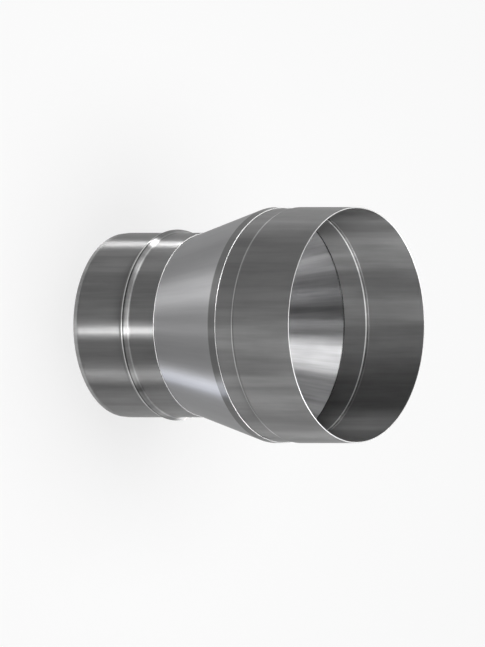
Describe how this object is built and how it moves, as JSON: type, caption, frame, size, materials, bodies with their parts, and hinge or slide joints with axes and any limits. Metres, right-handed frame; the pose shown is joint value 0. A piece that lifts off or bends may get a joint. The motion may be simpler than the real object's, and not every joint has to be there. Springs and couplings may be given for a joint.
{
  "type": "chimney pipe connector",
  "caption": "Round sheet-steel flue enlarger: a beaded spigot takes the smaller pipe, a cone widens the duct, and a stepped socket takes the larger pipe.",
  "frame": {"origin": "centre of the small end's rim, on the surface that the part stands on", "axes": "+Z along the duct, from the small end up to the large end; the part is round, so +X and +Y are any two directions across it"},
  "size_m": [0.1518, 0.1516, 0.1813],
  "materials": {
    "tube_steel": "bright rolled sheet with a fine grain round the tube, so that highlights run along it",
    "cone_steel": "satin formed sheet, softer and lighter than the tubes"
  },
  "bodies": {
    "root": {"spigot_tube": "tube_steel", "cone": "cone_steel", "socket_tube": "tube_steel"}
  },
  "joints": []
}
